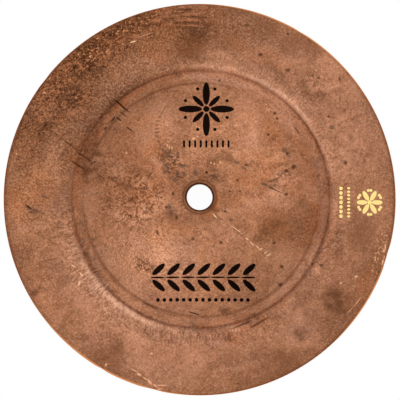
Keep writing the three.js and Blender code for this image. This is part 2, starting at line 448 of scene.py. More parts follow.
# %% Stains in the ring frame
# Each oval: distance from the axis in mm, clock angle in degrees, half width, half span, and the amount.
# A half span of all_round is so wide that the stain is the same all the way. One that crosses the bottom
# of the bell is there twice, because the clock angle jumps there from 180 to -180.
all_round = 9999
ring_stains = {
    "crusted": (
        (84, -42, 11, 40, 1), (76, -52, 12, 26, 0.9), (79, -68, 10, 15, 0.65), (86, -14, 8, 22, 0.8),
    ),
    "crust_cores": (
        (86.5, -28, 5, 9, 1), (85.3, -20, 5, 8, 1), (85, -36.5, 5, 7, 1), (81, -44.5, 4, 4, 1),
        (77, -40, 5, 6, 1), (75, -51, 5, 7, 0.8), (75.6, -67, 4.5, 5, 0.75), (86.3, -66, 4, 5, 0.4),
        (77, -2, 8, 10, 0.45), (80, -8, 5, 8, 0.4),
    ),
    # Partly dark stains and partly painted shade: a band of painted shade on the steep flank to the right
    # and to the left. It also darkens the metal towards the edge all round and in a ring round the hole.
    "dusky_and_shade": (
        (76, -4, 11, 26, 0.5), (76, 14, 11, 20, 0.5), (72, -38, 15, 36, 0.5), (84, -62, 8, 24, 0.3),
        (92, 0, 26, all_round, 0.12), (90.5, 0, 7, all_round, 0.4), (84, 122, 7, 30, 0.4),
        (61, -48, 6, 36, 0.9), (57.2, 84, 3, 30, 0.3), (57.2, -88, 2.2, 26, 0.1), (66, -50, 5, 24, 0.7),
        (8.5, 0, 3.5, all_round, 0.3),
    ),
    # Painted highlight: a light band on the ledge between the two creases, and a bright line on the fillet
    # at the foot of the flank, where the softboxes catch the metal.
    "painted_flank_highlight": (
        (59.8, 42, 1.7, 34, 0.4), (60.4, -138, 2.3, 34, 0.6), (59.2, -95, 1.3, 26, 0.2),
        (60, 110, 1.6, 50, 0.3), (60, 180, 2.4, 44, 0.35), (60, -180, 2.4, 44, 0.35),
        (60, 8, 1.8, 20, 0.2), (54.8, 8, 1.8, 24, 0.5), (55.5, 50, 3, 40, 0.3), (56, 120, 2.4, 40, 0.25),
        (55.6, 180, 2, 40, 0.1), (55.6, -180, 2, 40, 0.1),
    ),
    "haired": (
        (61, 0, 6, all_round, 0.35), (62, -130, 7, 50, 1), (62, 180, 6, 40, 0.7), (62, -180, 6, 40, 0.7),
        (62, 30, 5, 46, 0.55), (63, 104, 5, 26, 0.6),
    ),
    "rosy": (
        (72, 40, 16, 50, 0.35), (84, 66, 9, 22, 0.4), (74, 110, 16, 50, 0.2), (70, -150, 9, 40, 0.2),
        (64, -140, 4, 46, 0.5), (63.5, 40, 4, 50, 0.5), (33, -150, 9, 48, 0.5), (48, -156, 7, 34, 0.3),
        (64, 134, 5, 18, 0.5), (65, 172, 5, 14, 0.5), (74, 166, 9, 14, 0.3), (84, 6, 8, 18, 0.5),
        (73, -64, 8, 12, 0.6), (67, -50, 5, 14, 0.35), (73, 142, 8, 10, 0.6), (81, -150, 7, 14, 0.5),
        (72, 72, 8, 14, 0.4), (36, 45, 4, 10, 0.5), (46, 63, 3, 8, 0.4), (15, -105, 4, 24, 0.6),
        (24, -165, 4, 24, 0.6), (55, 91, 3, 8, 0.6), (67, -90, 6, 8, 0.6), (50, -123, 6, 10, 0.4),
        (31, -148, 6, 10, 0.7), (52.5, -152, 2.5, 8, 0.6), (70, -122, 8, 14, 0.4), (80, -168, 8, 20, 0.4),
    ),
    "ruddy": (
        (40, 98, 24, 46, 0.15), (56.5, 50, 4, 90, 0.6), (57.5, -80, 3.2, 40, 0.7), (54, 98, 6, 34, 0.6),
        (58.5, 170, 3, 16, 0.9), (61, 153, 3, 8, 0.4), (65.4, 165.5, 3, 4, 0.8), (75, 2, 5, 5, 0.6),
        (46, 50, 10, 32, 0.2), (19, -125, 6, 26, 0.3), (84, -26, 8, 30, 1), (57.5, 165, 3, 40, 0.3),
        (57, -46, 4, 26, 1), (30, -75, 24, 50, 0.25), (59, 106, 3.4, 24, 0.9), (58.5, 137, 4, 16, 0.7),
        (33, 70, 20, 40, 0.1), (81, -7, 9, 20, 0.6), (58.5, -50, 3, 30, 1), (60, 163, 4, 12, 0.7),
        (61, 168, 3, 14, 0.6), (84, 116, 4, 6, 0.6),
    ),
    "scaly": (
        (80, -30, 14, 52, 1), (76, -82, 14, 34, 0.8), (33, -138, 18, 40, 0.9), (64, -135, 7, 46, 0.9),
        (30, 0, 26, all_round, 0.25), (63, 0, 6, all_round, 0.4), (56, 30, 6, 50, 0.5),
        (62, 95, 6, 36, 0.4),
    ),
}
for name, rows in ring_stains.items():
    paint(name, ring_radius, ring_clock, rows)

# %% [markdown]
# ## The skin of raw bronze
#
# The metal is cast bronze, about four parts of copper to one of tin. Hot rolling and quenching leave a thin
# brown oxide on it. It is a metal to the light, so its colour tints what it reflects, but the oxide is a
# fine powder, so it reflects softly. A typical bronze has a roughness of 0.2 when it is polished and 0.5 or
# more with such a skin. Part of the light scatters in the powder, so it isn't fully metallic.
#
# Colours are written as sRGB hex codes, as a colour picker gives them. Blender works in linear light, so
# one function turns them. A second small function adds a node and fills its sockets: an output is linked,
# and anything else is set as a value.


# %% Two helpers, and the material
def linear(code):
    """The linear colour of an sRGB hex code, with alpha 1."""
    channels = [int(code[i:i + 2], 16) / 255 for i in (1, 3, 5)]
    return [c / 12.92 if c <= 0.04045 else ((c + 0.055) / 1.055) ** 2.4 for c in channels] + [1]


def add_node(tree, kind, sockets=None, **settings):
    """Adds a node, sets it up and fills its sockets. Returns its first output in use."""
    node = tree.nodes.new(kind)
    for name, value in settings.items():
        setattr(node, name, value)
    for key, value in (sockets or {}).items():
        in_use = [s for s in node.inputs if s.enabled and s.name == key]
        socket = node.inputs[key] if isinstance(key, int) else in_use[0]
        if isinstance(value, bpy.types.NodeSocket):
            tree.links.new(value, socket)
        else:
            socket.default_value = value
    return next((s for s in node.outputs if s.enabled), None)


bronze = bpy.data.materials.new("raw_cast_bronze")
bronze.use_nodes = True
skin = bronze.node_tree
shader = skin.nodes["Principled BSDF"]
shader.inputs["Metallic"].default_value = 0.85
shader.inputs["Specular Tint"].default_value = linear("#dca07a")
print("the mean tone in linear light:", [round(c, 3) for c in linear("#ab7152")])

# %% [markdown]
# ## Places for the material
#
# The material needs the same two frames, now for each point of the surface. Object coordinates are the
# place in metres, so they are scaled to millimetres first. The third number of a frame is kept at 1. That
# makes any straight measure across the frame a single dot product, which the ovals use below.

# %% Frames in the material
place = add_node(skin, "ShaderNodeTexCoord").node.outputs
solid = add_node(skin, "ShaderNodeVectorMath", {0: place["Object"], 3: 1 / MM}, operation="SCALE")
flat = add_node(
    skin, "ShaderNodeVectorMath", {0: solid, 1: (1, 1, 0), 2: (0, 0, 1)}, operation="MULTIPLY_ADD")


def seen_from(x, y):
    """The flat frame counted from a centre: how far to the right, how far up, and the distance."""
    local = add_node(skin, "ShaderNodeVectorMath", {0: flat, 1: (x, y, 1)}, operation="SUBTRACT")
    parts = add_node(skin, "ShaderNodeSeparateXYZ", {0: local}).node.outputs
    return parts["X"], parts["Y"], add_node(skin, "ShaderNodeVectorMath", {0: local}, operation="LENGTH")


def ring_frame(x, y):
    """Distance from a centre in mm and the clock angle round it in degrees."""
    right, up, reach = seen_from(x, y)
    clock = add_node(skin, "ShaderNodeMath", {0: right, 1: up}, operation="ARCTAN2")
    clock = add_node(skin, "ShaderNodeMath", {0: clock}, operation="DEGREES")
    return add_node(skin, "ShaderNodeCombineXYZ", {0: reach, 1: clock, 2: 1.0})


ring = ring_frame(0, 0)
pressed_ring = ring_frame(*(punch_slip / MM))
facing = add_node(skin, "ShaderNodeSeparateXYZ", {0: place["Normal"]}).node.outputs["Z"]
on_top = add_node(skin, "ShaderNodeMapRange", {
    "Value": facing, "From Min": -level_enough, "From Max": level_enough,
})
print("frames: solid and flat in mm, ring and pressed ring in mm and degrees")

# %% [markdown]
# ## Patterns
#
# A raw skin has detail at every size, from clouds as wide as a thumb down to single grains. A noise texture
# with a roughness near 1 gives each octave the same strength, which is what makes it look like a natural
# stain and not like a soft blur. Each other pattern below is one noise, cut at two values: it starts at the
# first and is full at the second, so a narrow pair gives crisp specks. Its sizes are the length and width
# of its spots. In the ring frame they are millimetres outwards and degrees round. The real grain of the
# oxide is about a tenth of a millimetre, too fine for this picture, so it is drawn at 0.8 mm, as coarse as
# it has to be.

# %% A pattern is a noise that is cut
# Each pattern is moved by its number times this, so far that no two show the same part of the noise.
seed_step = 360


def pattern(frame_used, size, turn, detail, cut, folded, seed):
    """Mask of noise spots, or of threads where it is folded: their length and width, turn and cut."""
    length, width = size
    spots = add_node(skin, "ShaderNodeMapping", {
        "Vector": frame_used, "Location": (seed * seed_step, 0, 0), "Rotation": (0, 0, math.radians(turn)),
        "Scale": (length, width, length),
    }, vector_type="TEXTURE")
    value = add_node(skin, "ShaderNodeTexNoise", {
        "Vector": spots, "Scale": 1.0, "Detail": detail, "Roughness": 0.6, "Distortion": 0.6 * folded,
    }, noise_dimensions="3D")
    if folded:
        value = add_node(skin, "ShaderNodeMath", {0: value, 1: 0.5}, operation="PINGPONG")
    return add_node(skin, "ShaderNodeMapRange", {
        "Value": value, "From Min": cut[0], "From Max": cut[1],
    }, interpolation_type="SMOOTHSTEP")


# Each pattern: its frame, the length and width of a spot, the turn, the detail, the cut and if it is folded.
pattern_rows = {
    "clouds": (solid, (22, 22), 0, 3, (0.42, 0.66), False),
    "mist": (solid, (4, 4), 0, 4, (0.34, 0.56), False),
    "blots": (solid, (3.2, 3.2), 0, 3, (0.50, 0.62), False),
    "dark_grain": (solid, (0.85, 0.85), 0, 1, (0.38, 0.68), False),
    "pale_grain": (solid, (0.8, 0.8), 0, 1, (0.39, 0.69), False),
    "specks": (solid, (1.5, 1.5), 0, 2, (0.52, 0.62), False),
    "glints": (solid, (1.0, 1.0), 0, 1, (0.58, 0.68), False),
    "worms": (solid, (2.4, 2.4), 0, 0.8, (0.435, 0.485), True),
    "threads": (solid, (2.2, 1.3), 25, 1, (0.44, 0.485), True),
    "grooves": (ring, (1.1, 7), 0, 2, (0.46, 0.60), False),
    "hairs": (ring, (2.6, 0.7), 0, 1, (0.48, 0.62), False),
    "pale_hairs": (ring, (2.4, 0.65), 0, 1, (0.52, 0.64), False),
    "streaks": (solid, (10, 1.0), -10, 2, (0.50, 0.66), False),
    "long_scratches": (solid, (16, 0.5), 38, 1, (0.64, 0.72), False),
    "cross_scratches": (solid, (13, 0.5), -52, 1, (0.65, 0.73), False),
}
masks = {name: pattern(*row, seed=number) for number, (name, row) in enumerate(pattern_rows.items())}
for name in (*flat_stains, *ring_stains):
    masks[name] = add_node(skin, "ShaderNodeAttribute", attribute_name=name).node.outputs["Fac"]
print(f"{len(pattern_rows)} patterns and {len(masks) - len(pattern_rows)} painted stains")

# %% Clear of clouds
# A cloud covers the pale grain and the glints, so these need the places that have none.
masks["clear"] = add_node(skin, "ShaderNodeMath", {0: 1.0, 1: masks["clouded"]}, operation="SUBTRACT")
print(f"{len(masks)} masks so far")

# %% The mottled base
largest_spot = 14
mottle = add_node(skin, "ShaderNodeTexNoise", {
    "Vector": solid, "Scale": 1 / largest_spot, "Detail": 5.0, "Roughness": 0.95,
}, noise_dimensions="3D")
mottle_share = add_node(skin, "ShaderNodeMapRange", {"Value": mottle, "From Min": 0.36, "From Max": 0.64})
colour = add_node(skin, "ShaderNodeMix", {
    "Factor": mottle_share, "A": linear("#955f40"), "B": linear("#c2845f"),
}, data_type="RGBA")
print(f"mottled in spots of up to {largest_spot} mm")

# %% [markdown]
# ## Crisp marks
#
# Pits, scratches, chips and the mill's stripes are finer than the mesh, so they are drawn in the material,
# one by one, as small ovals. Two dot products give the place along and across an oval, each 1 at its edge,
# and the sum of their squares tells inside from outside. The least sum of a family gives one mask for all
# of it. Each family is a node group, which keeps the tree easy to read and quick to build.


# %% Ovals as a node group
def ovals(name, frame_used, rows, full=0.0):
    """Mask of ovals (x, y, half length, half width, turn), full where the sum of squares is below full."""
    family = bpy.data.node_groups.new(name, "ShaderNodeTree")
    family.interface.new_socket("Place", in_out="INPUT", socket_type="NodeSocketVector")
    family.interface.new_socket("Mask", in_out="OUTPUT", socket_type="NodeSocketFloat")
    point = add_node(family, "NodeGroupInput")
    nearest = None
    for x, y, length, width, *turn in rows:
        c, s = cosine_and_sine(*turn)
        squares = None
        for reach, a, b in ((length, c, s), (width, -s, c)):
            axis = (a / reach, b / reach, -(a * x + b * y) / reach)
            way = add_node(family, "ShaderNodeVectorMath", {0: point, 1: axis}, operation="DOT_PRODUCT")
            squares = add_node(
                family, "ShaderNodeMath", {0: way, 1: way, 2: squares or 0.0}, operation="MULTIPLY_ADD")
        nearest = squares if nearest is None else add_node(
            family, "ShaderNodeMath", {0: nearest, 1: squares}, operation="MINIMUM")
    mask = add_node(family, "ShaderNodeMapRange", {
        "Value": nearest, "From Min": 1.0, "From Max": full,
    }, interpolation_type="SMOOTHSTEP")
    add_node(family, "NodeGroupOutput", {"Mask": mask})
    used = skin.nodes.new("ShaderNodeGroup")
    used.node_tree = family
    skin.links.new(frame_used, used.inputs["Place"])
    print(f"{name}: {len(rows)} ovals")
    return used.outputs["Mask"]


def mark(name, frame_used, rows, full=0.0):
    """Keeps a family of marks as a mask of that name."""
    masks[name] = ovals(name, frame_used, rows, full)


# %% Pits, soot and dots
# Each mark: x and y in mm, half length, half width, and the turn in degrees if it has one.
mark("pits", flat, (
    (21, 14.5, 1.1, 0.9), (-10.3, -9.3, 0.8, 1.4), (-12, 1.5, 0.9, 1.3), (-19, -16, 0.9, 1.4, 20),
    (-3, -19, 1.0, 0.9), (9.5, -20.5, 1.2, 1.0), (11.5, -6.5, 0.8, 0.8), (33.5, -20.5, 1.1, 1.0),
    (37, -31, 1.2, 1.1), (36.5, -39, 1.4, 1.2, 30), (21.5, -34.5, 1.1, 0.9, 40), (34, 38.5, 1.0, 0.9),
    (35, 36, 0.9, 0.9), (31, 28.5, 1.1, 0.9), (42.5, 14, 1.6, 1.2, 30), (39, 12, 1.5, 1.1, 20),
    (39.5, 20, 1.0, 0.9), (-15, -4.5, 0.9, 0.8), (9, 53.5, 1.1, 0.7, 45), (27.5, 65.5, 1.6, 1.1),
    (21.5, 79, 1.4, 1.0, 10), (40, 75, 1.0, 0.8), (40, 58.5, 1.6, 1.2), (66, 16.5, 1.3, 1.2),
    (17, 7.5, 0.9, 0.7), (13.6, 2.6, 0.8, 0.6), (18.1, 2.6, 0.6, 0.6), (39, 1.5, 1.1, 1.0),
    (55, -30, 1.2, 0.9), (51, -29.5, 0.9, 0.7), (54, 55, 1.5, 0.5, -20), (63.5, 54.5, 0.6, 1.3, 20),
    (58.4, 37.5, 0.9, 0.8), (-44.5, 37, 1.2, 0.9), (-17.3, -0.3, 0.8, 0.6, 20),
))
mark("soot", flat, (
    (-16.7, 21.3, 1.5, 0.9, -35), (-15.2, 20.4, 1.1, 0.8, -20), (-13.1, 18.2, 2.6, 0.8),
    (-17.2, 16.7, 1.1, 0.9), (-14.8, 14.1, 2.2, 1.3, 60), (-10.9, 16.5, 1.8, 0.7, -10),
    (-6.6, 14.1, 3.2, 0.7, -18), (-15.5, 11.4, 1.5, 1.4), (-10, 10.7, 1.3, 1.7), (-10.9, 7.8, 2.0, 1.3),
    (-6.9, 10.4, 1.2, 1.4), (-1.7, 11, 1.3, 1.6), (-9.6, 20, 1.2, 0.7, -30), (-2, 19.5, 1.6, 0.4, -45),
    (16.6, 15.6, 1.8, 1.1, -10), (20, 13, 2.4, 0.8, -30), (6.4, 9.4, 2.8, 0.7, -6),
    (14.3, -10.4, 1.4, 1.2), (-13.6, -4.2, 1.3, 1.6), (-12.8, -7, 1.1, 1.5, 10),
    (29.1, 5.8, 2.6, 0.9, -15), (32.5, 4.2, 1.8, 0.7, -20), (60, 32.5, 1.8, 1.3, 10),
    (38.2, 21.5, 1.8, 1.6), (-77.6, -3.8, 2.1, 0.9, -42), (-74, -5.2, 2.6, 0.7, -12),
    (-70, 1, 2.2, 0.6, -25), (-76.5, -6, 1.4, 0.8),
))
mark("felt_mark", flat, (
    (-18, 36.4, 1.0, 0.5, 20), (-18.6, 34.6, 1.1, 0.5, 10), (-19.2, 32.8, 1.2, 0.5),
    (-19.3, 31, 1.2, 0.5), (-19.3, 29.4, 1.2, 0.5), (-19.1, 27.6, 1.1, 0.6, -10),
    (-18.5, 25.2, 1.2, 0.7, -40), (-17.6, 23.6, 1.0, 0.5, -45), (-16, 40, 3.6, 0.35, 58),
), full=0.3)
mark("bright_dots", flat, (
    (30, 42.5, 0.6, 0.5), (31.3, 40, 0.6, 0.5), (5.1, 15.4, 0.5, 0.5), (9.3, 15.6, 0.5, 0.5),
    (6.5, 15, 0.5, 0.5), (-21.7, -70, 0.8, 0.7), (70.8, -35.1, 0.9, 0.7), (-33, 20, 0.7, 0.5, 20),
    (-70.4, 48.4, 0.8, 0.6), (-56, 46, 0.5, 0.4), (-55, 65.8, 0.6, 0.4, 30), (-46.4, 73, 0.8, 0.35, 30),
    (-42, 67.2, 0.8, 0.4, 30), (-83, 20.6, 0.6, 0.5), (-68, 54.8, 0.8, 0.35, 50), (64, -38, 0.7, 0.5),
    (-14.6, 23.4, 0.4, 1.0), (-13.6, 22.6, 0.4, 1.1), (-12.5, 22.2, 0.4, 0.9), (-14.2, 25, 0.5, 0.4),
    (-1, 27.4, 0.7, 0.5), (-2.6, 26.4, 1.1, 0.6, 20), (84, -21, 0.4, 0.8), (83.2, -23.4, 0.4, 1.0),
    (83.6, -26, 0.4, 0.8), (82.8, -28.4, 0.4, 1.0),
), full=0.1)

# %% Scratches, chips and the mill's stripes
# Each mark has the same values as a pit. The ridges and furrows are stripes that the rolling mill left.
mark("dark_lines", flat, (
    (-35.2, 42, 5.6, 0.5, -43), (-36.6, 35.9, 2.0, 0.45, -41), (-39, 36, 1.8, 0.45, 53),
    (-31.7, 31.1, 2.1, 0.35, -40), (-42.5, 31.8, 1.2, 0.4, 48), (-77.4, -3.6, 1.8, 0.4, -40),
    (-2.5, -52, 3.2, 0.36, -14), (3.1, 11.1, 0.8, 0.8),
), full=0.3)
mark("faint_lines", flat, (
    (-34.4, 38, 3.0, 0.4, -37), (-58.5, 24.5, 5.2, 0.6, -36), (-52.5, 19.2, 5.8, 0.6, -34),
    (-55.3, 15.4, 5.6, 0.6, -34), (-48, 16, 2.2, 0.6, 25), (-22, -6, 2.2, 0.4, -40),
    (-27, -28, 2.6, 0.4, -40), (-28, -31, 2.2, 0.35, 30), (-22.5, -48.4, 4.6, 0.5, -28),
    (19, -57, 6, 0.6, 22), (27, -56, 6, 0.7, 30), (-9, 9, 2.2, 0.4, -12), (-24.5, 5.6, 2.2, 0.35, -38),
    (44, 30.7, 2.4, 0.5, -56), (-68, -27.5, 6, 0.22, 11), (33.3, 7.8, 4.2, 0.4, 21),
    (33.8, 3.4, 4.4, 0.4, -23), (-22.5, 9.9, 2.4, 0.35, 47), (-31.6, 9.0, 2.2, 0.35, -22),
    (-28, 9.8, 2.2, 0.35, 45), (57, -22, 2.4, 0.35, 35),
), full=0.3)
mark("bright_lines", flat, (
    (6.8, -8.5, 2.0, 0.4, -47), (21.3, -18.8, 1.2, 0.5, -30), (23.5, -20.9, 1.8, 0.4, -45),
    (27.4, -23.3, 1.3, 0.5, 25), (26, -22.4, 1.3, 0.4, -45), (31, -25.9, 1.6, 0.45, 28),
    (29.8, -24.8, 1.3, 0.4, 35), (16.5, -14.5, 4.0, 0.2, -35), (-30.2, 71.5, 1.9, 0.5, 15),
    (-53.6, -34.2, 1.5, 0.4, -45), (-54.5, -38.3, 1.7, 0.5, 66), (-57, -30.5, 1.6, 0.3, -30),
))
mark("edge_chips", flat, (
    (-29.6, -77.6, 2.4, 0.32, -28), (-27.4, -79.4, 1.6, 0.8, -25), (-24.8, -81.2, 1.6, 0.35, -35),
    (-22.6, -82.8, 2.0, 0.8, -50), (-20.2, -84.4, 1.4, 0.5, -40), (-17.2, -84.3, 3.2, 0.35),
    (-18, -86, 1.8, 0.3, 5), (-42.4, -75, 1.1, 0.5, 60), (-25, 74.5, 5, 0.22, 18),
    (84, -22.5, 2.6, 0.4, 76), (83, -28.5, 2.4, 0.4, 72), (71.5, -46.5, 3.4, 0.24, 51),
    (68, -50.5, 3, 0.2, 48),
))
mark("rolled_ridges", flat, (
    (-3.1, 84.4, 7.2, 0.5), (-4.5, 81.4, 6.6, 0.5, 1), (-4.4, 78.9, 6.2, 0.45, -1), (-20, 81, 6, 0.4, 12),
    (-28, 74.6, 7, 0.4, 17),
))
mark("rolled_furrows", flat, (
    (-3.5, 82.9, 7.2, 0.6), (-4.5, 80.1, 6.6, 0.55), (0.5, 77.7, 5.2, 0.7), (-6, 86, 6, 0.4, 3),
    (-21, 79.4, 6, 0.45, 12),
))

# %% Creases and edges
# Each ring: distance from the axis in mm, clock angle in degrees, half width, half span in degrees.
# Painted shade: dark lines along the two creases of the cup, where the steep step and flank fall into shade.
mark("inner_crease_shade", pressed_ring, (
    (53.1, -140, 1.0, 75), (53.3, 145, 1.0, 64), (52.4, -30, 1.0, 62),
))
mark("outer_crease_shade", pressed_ring, (
    (58.3, 116, 1.2, 32), (58.0, 160, 0.9, 60), (57.6, -118, 0.9, 26), (58.4, -150, 0.8, 32),
    (58.3, -34, 0.9, 34), (58.4, 60, 0.7, 26),
))
# Painted highlight: a bright line on the fillet at the foot of the flank, where the softboxes reflect.
mark("painted_fillet_highlight", pressed_ring, ((59.8, 42, 1.5, 30), (60.3, -140, 1.6, 34)))
# Painted shade on the rounded lip of the hole, darkest where it turns down into the hole.
mark("lip_shade_band", ring, ((6.9, 0, 1.7, all_round),), full=0.3)
mark("lip_shade_rim", ring, ((7.5, 0, 0.5, all_round),))
mark("lip_shade_core", ring, ((5.9, 0, 0.9, all_round),), full=0.3)
# Painted shade: a dark line where the top turns down into the rounded edge.
mark("edge_shade_line", ring, ((88.0, -75, 1.0, 80), (88.0, 90, 0.8, 100)))
mark("edge_bare", ring, ((89.1, 0, 1.0, all_round),), full=0.3)
# Painted highlight: a bright line on the rounded edge, on the sides where it catches the light.
mark("edge_highlight", ring, ((88.9, 118, 0.9, 22), (88.9, -150, 0.9, 34), (88.9, 30, 0.8, 40)), full=0.3)

# %% [markdown]
# ## Coats
#
# The skin is now built as a restorer would paint it, coat on coat: each row of the table is a colour, a
# strength and the masks that say where it goes. Where a row names more than one mask they are multiplied,
# so that specks show only inside their stain. The general coats go all over, and the others only on the
# top.

# %% Coats all over, then coats on top
general_coats = (
    ("#7a4d35", 0.20, "clouds"),
    ("#6b432e", 0.28, "blots"),
    ("#d69c7a", 0.30, "long_scratches"),
    ("#7a4e36", 0.35, "cross_scratches"),
    ("#b8703a", 0.60, "edge_bare"),
)
top_coats = (
    ("#a3745f", 1.00, "rosy"),
    ("#ae6236", 1.00, "ruddy"),
    ("#6a412a", 1.00, "clouded"),
    # Dark stains, and painted shade on the steep flank.
    ("#6a412a", 1.00, "dusky_and_shade"),
    ("#d89b79", 1.00, "pale"),
    ("#c4753f", 0.40, "warm"),
    # Painted highlight on the ledge and at the foot of the flank.
    ("#d8a68c", 1.00, "painted_flank_highlight"),
    ("#6a3a1c", 0.31, "dark_grain"),
    ("#e0ad8c", 0.22, "clear pale_grain"),
    ("#5c3822", 0.26, "specks blots"),
    ("#e3b08e", 0.26, "clear glints"),
    ("#532a10", 0.42, "scaly dark_grain"),
    ("#d59c74", 0.40, "scaly pale_grain"),
    ("#5f3a24", 0.70, "smudges mist"),
    # Painted shade in the two creases.
    ("#653519", 0.46, "inner_crease_shade"),
    ("#5f3319", 0.40, "outer_crease_shade"),
    ("#e8b798", 0.34, "painted_fillet_highlight"),
    ("#7a4f38", 0.40, "streaked streaks"),
    ("#7a4a30", 0.35, "speckled blots"),
    ("#633515", 0.82, "speckled worms mist"),
    ("#4f3020", 0.52, "speckled specks"),
    ("#53402f", 0.60, "sooty blots"),
    ("#6b3f24", 0.48, "crusted"),
    ("#3c1c0a", 0.45, "crusted specks"),
    ("#43200d", 0.50, "crusted blots"),
    ("#452210", 0.60, "crusted worms"),
    ("#c9875c", 0.60, "crusted threads"),
    ("#2f1709", 0.60, "crust_cores mist"),
    ("#45240f", 0.70, "rolled grooves"),
    ("#b47c58", 0.50, "rolled streaks"),
    ("#e0986a", 0.45, "crusted glints"),
    ("#4d2b1a", 0.42, "rolled_furrows"),
    ("#c0805a", 0.52, "rolled_ridges"),
    ("#73462e", 0.50, "haired hairs"),
    ("#dfae92", 0.34, "haired pale_hairs"),
    ("#f0b37c", 0.80, "sparkled glints"),
    # Painted shade on the lip of the hole.
    ("#6e442e", 0.50, "lip_shade_band"),
    ("#5c3419", 0.55, "lip_shade_rim"),
    ("#45220f", 0.75, "lip_shade_core"),
    # Painted shade at the start of the rounded edge.
    ("#5c3419", 0.35, "edge_shade_line"),
    ("#9a4e16", 0.70, "edge_bare"),
    # Painted highlight on the rounded edge.
    ("#f0a05c", 0.70, "edge_highlight"),
    ("#574339", 0.68, "soot"),
    ("#6a4636", 0.60, "felt_mark"),
    ("#4a2c1a", 0.82, "pits"),
    ("#4f2c18", 0.70, "faint_lines"),
    ("#28140a", 0.90, "dark_lines"),
    ("#f0c096", 0.85, "bright_lines"),
    ("#e6ab84", 0.85, "edge_chips"),
    ("#e9b388", 0.75, "bright_dots"),
)
for base, coats in ((None, general_coats), (on_top, top_coats)):
    for tone, strength, names in coats:
        share = base
        for name in names.split():
            share = masks[name] if share is None else add_node(
                skin, "ShaderNodeMath", {0: share, 1: masks[name]}, operation="MULTIPLY")
        share = add_node(skin, "ShaderNodeMath", {0: share, 1: strength}, operation="MULTIPLY")
        colour = add_node(
            skin, "ShaderNodeMix", {"Factor": share, "A": colour, "B": linear(tone)}, data_type="RGBA")
print(f"{len(general_coats) + len(top_coats)} coats")

# %% [markdown]
# ## Ornaments
#
# Three small ornaments are printed on the top: a star flower above the hole, a laurel below it and a foil
# flower by the edge. They are flat ink, so they are masks and not geometry. Each is drawn once and repeated
# by folding the plane, as paper is folded before it is cut. Ping-pong folds the angle, so that one petal
# makes a whole flower, and wrap folds a length, so that one leaf makes a whole row.


# %% Folded flowers and rows
print_edge = 0.8


def flower(name, x, y, petals, rows):
    """Mask of ovals in the first half petal, repeated round a centre."""
    right, up, reach = seen_from(x, y)
    angle = add_node(skin, "ShaderNodeMath", {0: up, 1: right}, operation="ARCTAN2")
    folded = add_node(skin, "ShaderNodeMath", {0: angle, 1: math.pi / petals}, operation="PINGPONG")
    ways = [
        add_node(skin, "ShaderNodeMath", {
            0: add_node(skin, "ShaderNodeMath", {0: folded}, operation=operation), 1: reach,
        }, operation="MULTIPLY")
        for operation in ("COSINE", "SINE")
    ]
    petal = add_node(skin, "ShaderNodeCombineXYZ", {0: ways[0], 1: ways[1], 2: 1.0})
    return ovals(name, petal, rows, print_edge)


def row_of(name, x, y, upright, spacing, repeats, rows):
    """Mask of ovals in one cell, repeated along a row and mirrored across it."""
    along, across, _ = seen_from(x, y)
    if upright:
        along, across = across, along
    half = spacing / 2
    folded = add_node(skin, "ShaderNodeMath", {0: along, 1: half, 2: -half}, operation="WRAP")
    mirrored = add_node(skin, "ShaderNodeMath", {0: across}, operation="ABSOLUTE")
    cell = add_node(skin, "ShaderNodeCombineXYZ", {0: folded, 1: mirrored, 2: 1.0})
    away = add_node(skin, "ShaderNodeMath", {0: along}, operation="ABSOLUTE")
    inside = add_node(skin, "ShaderNodeMath", {0: away, 1: repeats * half}, operation="LESS_THAN")
    mask = ovals(name, cell, rows, print_edge)
    return add_node(skin, "ShaderNodeMath", {0: mask, 1: inside}, operation="MULTIPLY")


# %% Print the ornaments
# Places and sizes are in mm. Each oval is placed from the ornament's centre, in its first petal or cell.
slant = 5.2 * math.sqrt(0.5)
ink_shapes = [
    flower("star", x=3, y=40, petals=4, rows=(
        (7.2, 0, 5.6, 1.7), (slant, slant, 3.6, 1.2, 45), (0, 0, 1.5, 1.5),
    )),
    flower("star_dots", x=3, y=40, petals=8, rows=((9.4, 3.9, 0.8, 0.8),)),
    row_of("star_row", x=3, y=24, upright=False, spacing=2.5, repeats=9, rows=((0, 0.7, 0.55, 1.1),)),
    row_of("laurel", x=1.5, y=-36, upright=False, spacing=6.8, repeats=7, rows=(
        (0.4, 3.6, 3.9, 1.35, 42), (0, 0, 3.4, 0.45),
    )),
    row_of("laurel_row", x=1.5, y=-46, upright=False, spacing=2.9, repeats=15, rows=((0, 0, 0.9, 0.9),)),
]
foil_shapes = [
    flower("foil_flower", x=77, y=-1.5, petals=6, rows=(
        (3.4, 0, 2.6, 1.1), (0, 0, 1.0, 1.0), (5.0, 2.2, 0.7, 0.7),
    )),
    row_of("foil_rule", x=64, y=-1.5, upright=True, spacing=2.1, repeats=7, rows=((0, 0, 0.85, 0.85),)),
    row_of("foil_dots", x=67.5, y=-1.5, upright=True, spacing=1.6, repeats=9, rows=((0, 0, 0.55, 0.75),)),
]
print_masks = []
for shapes, tone in ((ink_shapes, "#070303"), (foil_shapes, "#f3d98a")):
    mask = shapes[0]
    for shape in shapes[1:]:
        mask = add_node(skin, "ShaderNodeMath", {0: mask, 1: shape}, operation="MAXIMUM")
    mask = add_node(skin, "ShaderNodeMath", {0: mask, 1: on_top}, operation="MULTIPLY")
    print_masks.append(mask)
    colour = add_node(
        skin, "ShaderNodeMix", {"Factor": mask, "A": colour, "B": linear(tone)}, data_type="RGBA")
skin.links.new(colour, shader.inputs["Base Color"])
print(f"{len(ink_shapes)} shapes in ink and {len(foil_shapes)} in foil")

# %% [markdown]
# ## Gloss and grain
#
# Stains are rougher than the metal round them, and bare metal is smoother, so the roughness follows the
# same masks. The grain of the casting is real relief, a few hundredths of a millimetre high. It is far
# finer than the mesh, so it is a bump, and its distance is given in metres as the object is. Like the grain
# of the skin, it is drawn coarser than it is, so that it shows.

